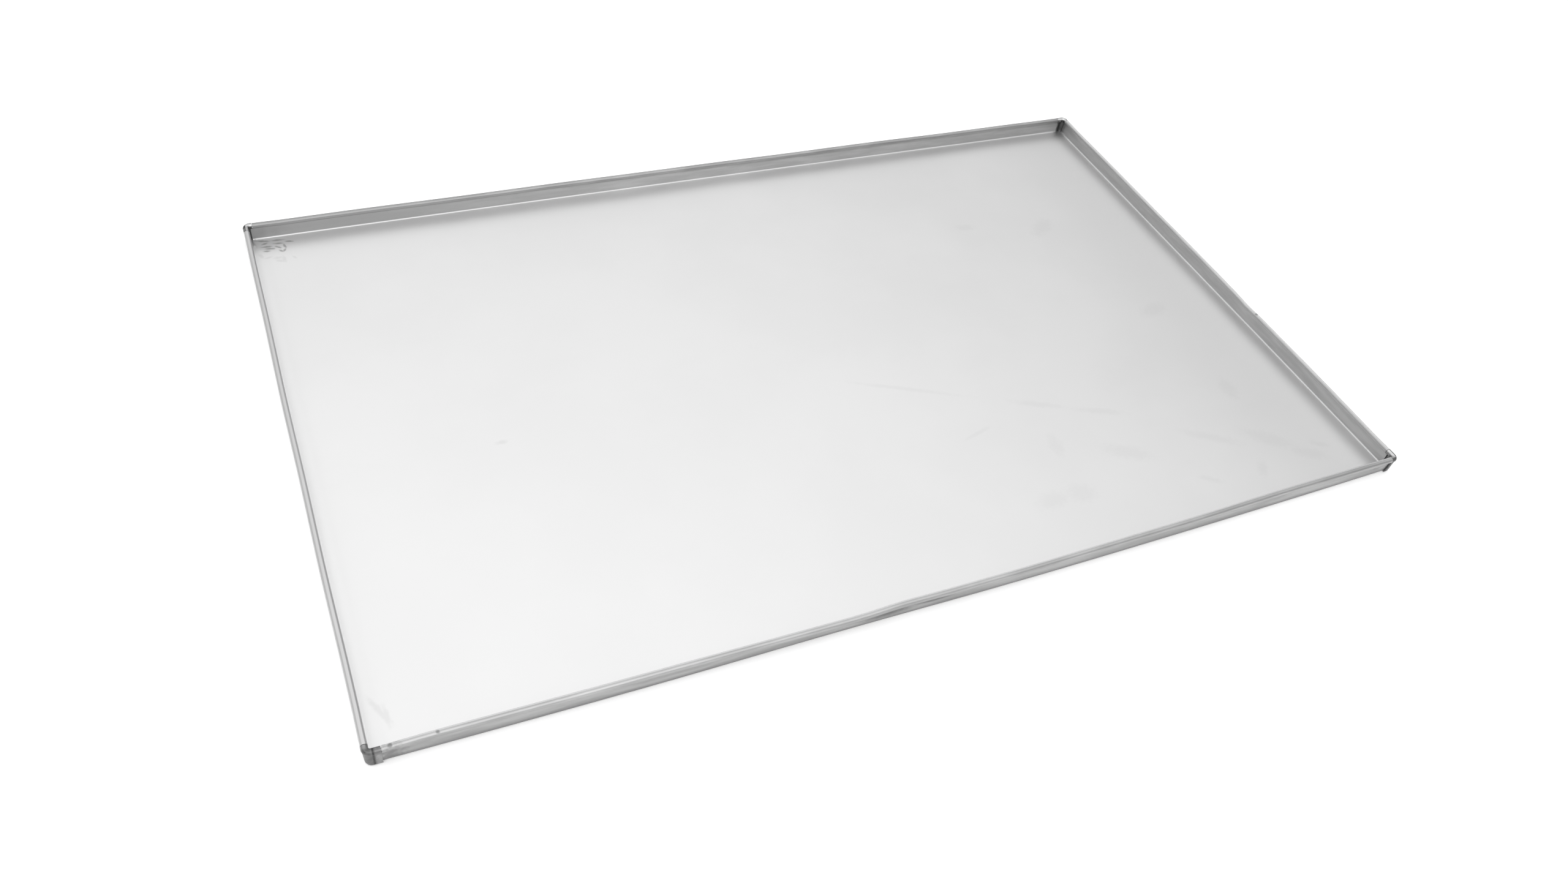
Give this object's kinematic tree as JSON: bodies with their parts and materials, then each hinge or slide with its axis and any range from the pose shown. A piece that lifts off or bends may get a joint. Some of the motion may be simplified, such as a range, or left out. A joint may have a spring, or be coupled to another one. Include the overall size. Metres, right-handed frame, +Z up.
{
  "type": "cookie sheet",
  "caption": "Low-walled rectangular sheet-metal cookie sheet with curled wired edges and rounded corner pieces.",
  "frame": {"origin": "centre of the outline, on the surface the tray stands on", "axes": "+Z up, +X along the long side, front edge at -Y"},
  "size_m": [0.5998, 0.3798, 0.012],
  "materials": {
    "pan_metal": "satin mill finish with fine scuffs",
    "corner_metal": "dull darkened metal",
    "wire_steel": "plain drawn wire"
  },
  "bodies": {
    "root": {"pan_sheet": "pan_metal", "rim_wire": "wire_steel", "corner_front_left": "corner_metal", "corner_front_right": "corner_metal", "corner_rear_right": "corner_metal", "corner_rear_left": "corner_metal"}
  },
  "joints": []
}
